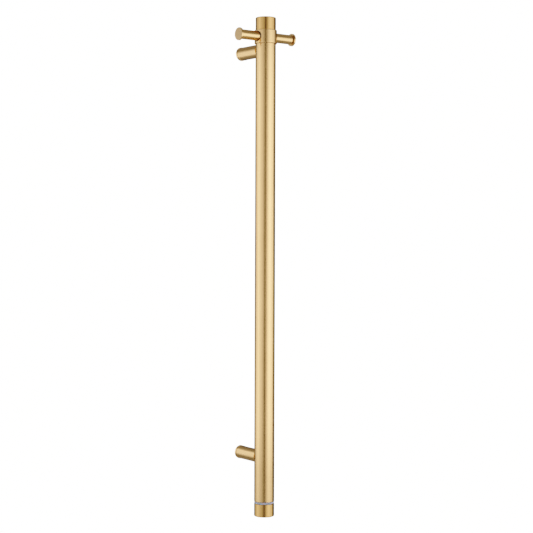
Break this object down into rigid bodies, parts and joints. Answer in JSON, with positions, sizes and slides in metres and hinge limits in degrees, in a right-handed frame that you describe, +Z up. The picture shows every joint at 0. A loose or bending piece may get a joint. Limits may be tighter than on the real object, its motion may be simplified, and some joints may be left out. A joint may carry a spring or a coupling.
{
  "type": "heated towel rail",
  "caption": "Upright tubular heated towel rail for a wall, with a swivelling peg collar, a frosted light ring and a push button.",
  "frame": {"origin": "on the wall plane, at the axis of the lower post, where the supply cable comes out of the wall", "axes": "+X along the pegs to the right of someone facing the rail, +Y into the wall, +Z up along the tube"},
  "size_m": [0.128, 0.1, 0.95],
  "materials": {
    "brushed_gold": "brushed, satin",
    "satin_gold": "satin, turned",
    "frosted_lens": "frosted, translucent, unlit",
    "steel": "machined",
    "blackened_steel": "black oxide",
    "nylon": "natural",
    "moulded_plastic": "black, fine grained",
    "rubber": "matt",
    "circuit_board": "solder mask",
    "led_lens": "clear yellow phosphor",
    "ceramic": "unglazed",
    "lead_insulation": "silicone sleeving"
  },
  "bodies": {
    "rail": {"main_tube": "brushed_gold", "top_spindle": "steel", "top_cap": "satin_gold", "top_cap_seal": "rubber", "glide_washer_lower": "nylon", "glide_washer_upper": "nylon", "light_ring": "frosted_lens", "control_cap": "satin_gold", "control_plug": "moulded_plastic", "tube_seal": "rubber", "control_cap_seal": "rubber", "control_board": "circuit_board", "led_1": "led_lens", "led_2": "led_lens", "led_3": "led_lens", "led_4": "led_lens", "led_5": "led_lens", "led_6": "led_lens", "button_switch": "moulded_plastic", "heating_element": "steel", "element_spacer_1": "ceramic", "element_spacer_2": "ceramic", "element_spacer_3": "ceramic", "element_spacer_4": "ceramic", "element_pin_left": "steel", "element_pin_right": "steel", "thermal_cutout": "ceramic", "element_lead_left": "lead_insulation", "element_lead_right": "lead_insulation", "supply_lead": "lead_insulation", "supply_socket": "moulded_plastic", "post_upper": "brushed_gold", "post_lower": "brushed_gold", "post_bolt_upper": "steel", "post_bolt_lower": "steel", "post_nut_lower": "steel", "wall_base_upper": "brushed_gold", "wall_base_lower": "brushed_gold", "grub_screw_upper": "blackened_steel", "grub_screw_lower": "blackened_steel", "cable_grommet": "rubber"},
    "collar": {"hook_collar": "brushed_gold", "peg_left": "brushed_gold", "peg_right": "brushed_gold", "peg_stud_left": "steel", "peg_stud_right": "steel"},
    "button": {"push_button": "satin_gold", "switch_plunger": "nylon", "return_spring": "steel"}
  },
  "joints": [
    {"name": "collar_swivel", "type": "hinge", "parent": "rail", "child": "collar", "pos_m": [0, -0.079, 0.8023], "axis": [0, 0, 1], "continuous": true},
    {"name": "button_press", "type": "slide", "parent": "rail", "child": "button", "axis": [0, 0, 1], "range_m": [0, 0.0012], "stiffness_N_per_m": 350, "springref_m": -0.002, "deforming": ["return_spring"]}
  ]
}
